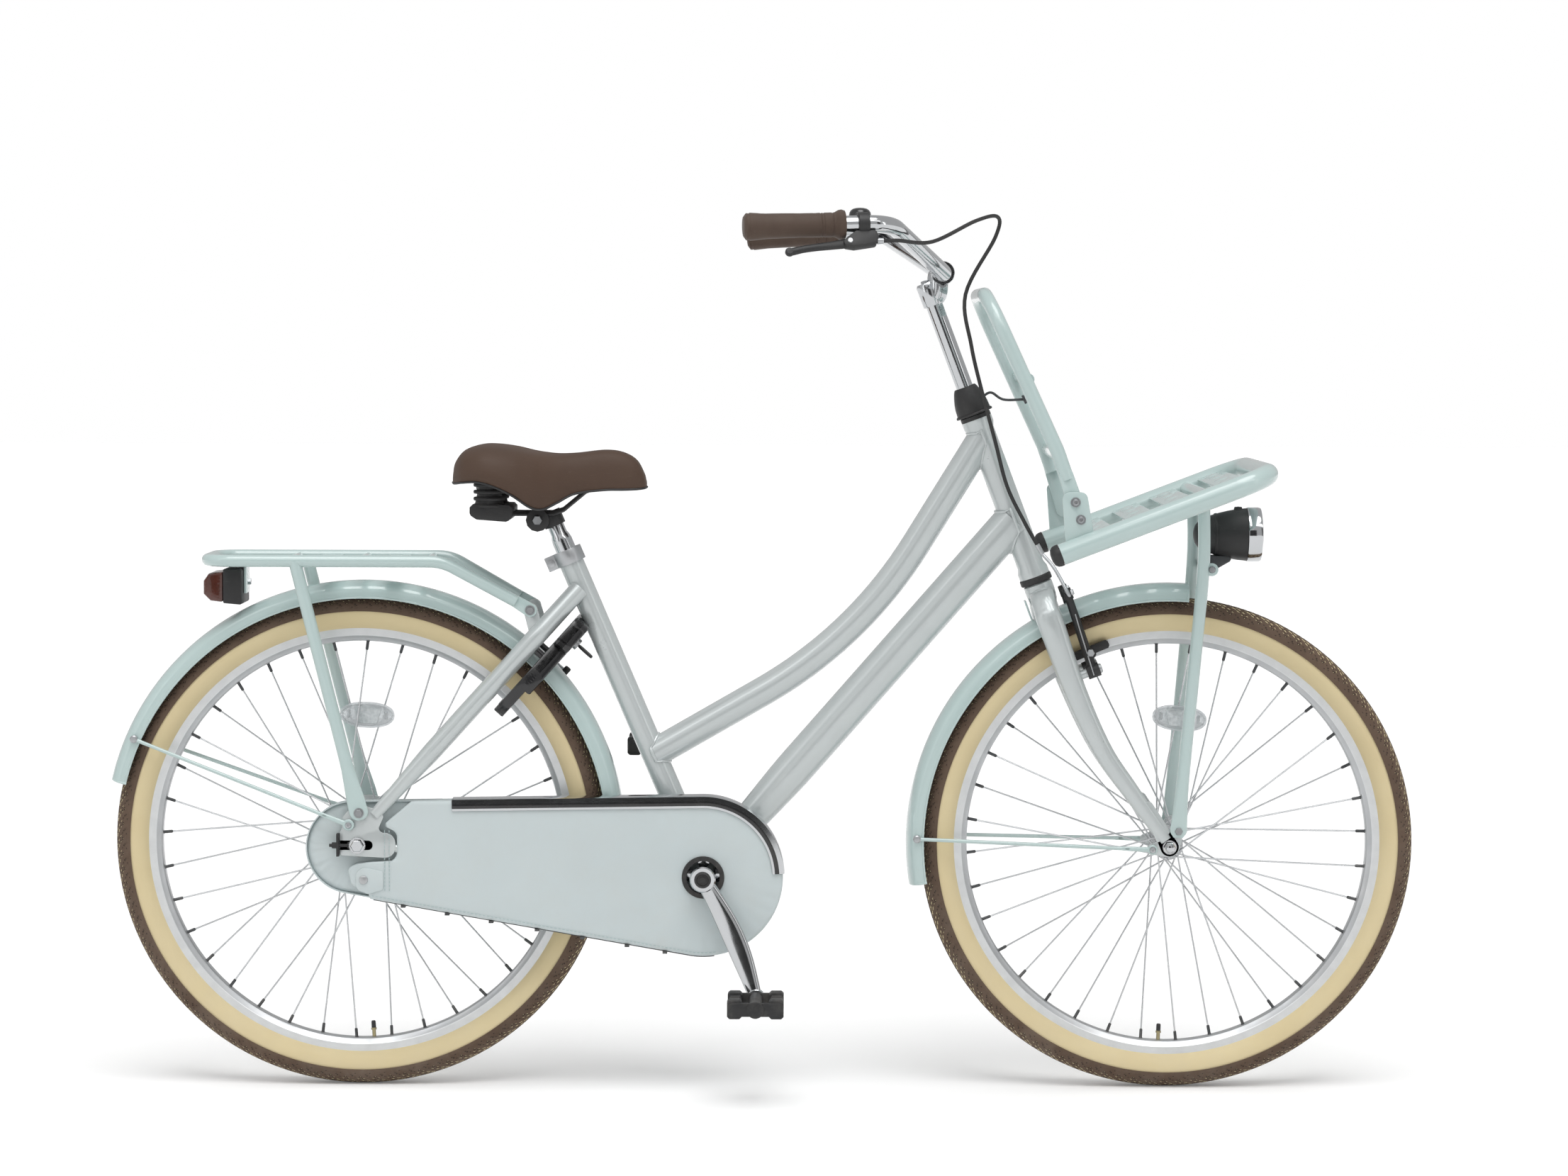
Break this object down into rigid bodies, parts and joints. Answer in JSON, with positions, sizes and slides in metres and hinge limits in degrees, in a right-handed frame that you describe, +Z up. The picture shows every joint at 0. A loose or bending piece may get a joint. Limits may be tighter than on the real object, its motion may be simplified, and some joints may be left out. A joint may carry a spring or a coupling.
{
  "type": "dutch city bike",
  "caption": "Low-entry dutch city bike with laced wheels, enclosed chain, front rack with an upright hoop, rear rack, mudguards, ring lock and swept-back handlebar.",
  "frame": {"origin": "the middle of the footprint, on the ground, with the bike upright and the steering straight", "axes": "+X forward along the bike, +Y to the rider's left, +Z up"},
  "size_m": [1.7272, 0.603, 1.1737],
  "materials": {
    "frame_paint": "pearl gloss",
    "mint_paint": "satin",
    "mint_vinyl": "soft",
    "chrome": "polished",
    "alloy": "satin",
    "steel": "satin",
    "black_plastic": "matte",
    "brown_rubber": "matte",
    "tyre": "matte",
    "saddle": "matte",
    "lens_red": "gloss",
    "lens_clear": "gloss",
    "reflector": "clear, ribbed",
    "trim": "polished"
  },
  "bodies": {
    "frame": {"frame": "frame_paint", "headset_lower_cup": "black_plastic", "headset_upper_cup": "black_plastic", "seat_clamp": "steel", "rear_mudguard": "mint_paint", "rear_rack": "mint_paint", "rear_light_housing": "black_plastic", "rear_light_lens": "lens_red", "chain_case": "mint_vinyl", "chain_case_trim": "trim", "chain": "steel", "bottom_bracket": "steel", "rear_axle": "chrome", "chain_tensioner_right": "black_plastic", "chain_tensioner_left": "black_plastic", "coaster_brake_arm": "steel", "lock_housing": "black_plastic"},
    "seat": {"seat_post": "chrome", "saddle_frame": "black_plastic", "saddle_cover": "saddle"},
    "crankset": {"crank_spindle": "steel", "crank_right": "chrome", "crank_left": "chrome"},
    "right_pedal": {"pedal_right": "black_plastic"},
    "left_pedal": {"pedal_left": "black_plastic"},
    "sprocket": {"rear_sprocket": "steel"},
    "shackle": {"lock_shackle": "steel"},
    "kickstand": {"kickstand": "black_plastic"},
    "rear_wheel": {"rear_tyre": "tyre", "rear_rim": "alloy", "rear_hub": "alloy", "rear_valve": "black_plastic", "rear_reflector": "reflector"},
    "steering": {"fork": "frame_paint", "headset_cap": "black_plastic", "stem": "chrome", "handlebar": "chrome", "grip_left": "brown_rubber", "grip_right": "brown_rubber", "brake_lever_bracket": "black_plastic", "bell_base": "black_plastic", "brake_cable": "black_plastic", "front_mudguard": "mint_paint", "front_rack": "mint_paint", "rack_upright": "mint_paint", "rack_cap_left": "black_plastic", "rack_cap_right": "black_plastic", "front_axle": "chrome"},
    "front_wheel": {"front_tyre": "tyre", "front_rim": "alloy", "front_hub": "alloy", "front_valve": "black_plastic", "front_reflector": "reflector"},
    "brake_lever": {"brake_lever": "black_plastic"},
    "right_brake_arm": {"brake_arm_right": "black_plastic"},
    "left_brake_arm": {"brake_arm_left": "black_plastic"},
    "bell_striker": {"bell_striker": "black_plastic"},
    "headlamp": {"headlamp_shell": "black_plastic", "headlamp_lens": "lens_clear", "headlamp_bracket": "steel"}
  },
  "joints": [
    {"name": "steering_turn", "type": "hinge", "parent": "frame", "child": "steering", "pos_m": [0.36012, 0, 0.68033], "axis": [-0.3535, 0, 0.9354], "range_deg": [-50, 50]},
    {"name": "front_wheel_spin", "type": "hinge", "parent": "steering", "child": "front_wheel", "pos_m": [0.53715, 0, 0.3265], "axis": [0, 1, 0], "continuous": true},
    {"name": "rear_wheel_spin", "type": "hinge", "parent": "frame", "child": "rear_wheel", "pos_m": [-0.53135, 0, 0.3265], "axis": [0, 1, 0], "continuous": true},
    {"name": "crank_turn", "type": "hinge", "parent": "frame", "child": "crankset", "pos_m": [-0.07685, 0, 0.286], "axis": [0, 1, 0], "continuous": true},
    {"name": "sprocket_turn", "type": "hinge", "parent": "frame", "child": "sprocket", "pos_m": [-0.53135, 0, 0.3265], "axis": [0, 1, 0], "continuous": true},
    {"name": "right_pedal_turn", "type": "hinge", "parent": "crankset", "child": "right_pedal", "pos_m": [-0.00662, 0, 0.13118], "axis": [0, 1, 0], "continuous": true},
    {"name": "left_pedal_turn", "type": "hinge", "parent": "crankset", "child": "left_pedal", "pos_m": [-0.14708, 0, 0.44082], "axis": [0, 1, 0], "continuous": true},
    {"name": "brake_lever_pull", "type": "hinge", "parent": "steering", "child": "brake_lever", "pos_m": [0.10909, -0.27759, 1.11292], "axis": [0.1186, -0.8599, 0.4965], "range_deg": [0, 10], "stiffness_Nm_per_rad": 2, "springref_deg": -11.46},
    {"name": "right_brake_close", "type": "hinge", "parent": "steering", "child": "right_brake_arm", "pos_m": [0.40989, -0.042, 0.54862], "axis": [-0.9354, 0, -0.3535], "range_deg": [0, 3.6]},
    {"name": "left_brake_close", "type": "hinge", "parent": "steering", "child": "left_brake_arm", "pos_m": [0.40989, 0.042, 0.54862], "axis": [0.9354, 0, 0.3535], "range_deg": [0, 3.6]},
    {"name": "bell_striker_flick", "type": "hinge", "parent": "steering", "child": "bell_striker", "pos_m": [0.13102, 0.26061, 1.15415], "axis": [0, 0, 1], "range_deg": [0, 25], "stiffness_Nm_per_rad": 0.02, "springref_deg": -17.19},
    {"name": "seat_height", "type": "slide", "parent": "frame", "child": "seat", "axis": [-0.3955, 0, 0.9184], "range_m": [-0.01, 0.08]},
    {"name": "lock_turn", "type": "hinge", "parent": "frame", "child": "shackle", "pos_m": [-0.32617, 0, 0.55486], "axis": [-0.7438, 0, 0.6684], "range_deg": [0, 90], "stiffness_Nm_per_rad": 0.2, "springref_deg": -28.65},
    {"name": "kickstand_swing", "type": "hinge", "parent": "frame", "child": "kickstand", "pos_m": [-0.13535, 0.0192, 0.258], "axis": [0, -1, 0], "range_deg": [0, 100]},
    {"name": "headlamp_tilt", "type": "hinge", "parent": "steering", "child": "headlamp", "pos_m": [0.58725, 0, 0.694], "axis": [0, 1, 0], "range_deg": [-8, 8]}
  ],
  "couplings": [
    {"joint": "sprocket_turn", "follows": "crank_turn", "ratio": 2},
    {"joint": "right_brake_close", "follows": "brake_lever_pull", "ratio": 0.35},
    {"joint": "left_brake_close", "follows": "brake_lever_pull", "ratio": 0.35}
  ]
}
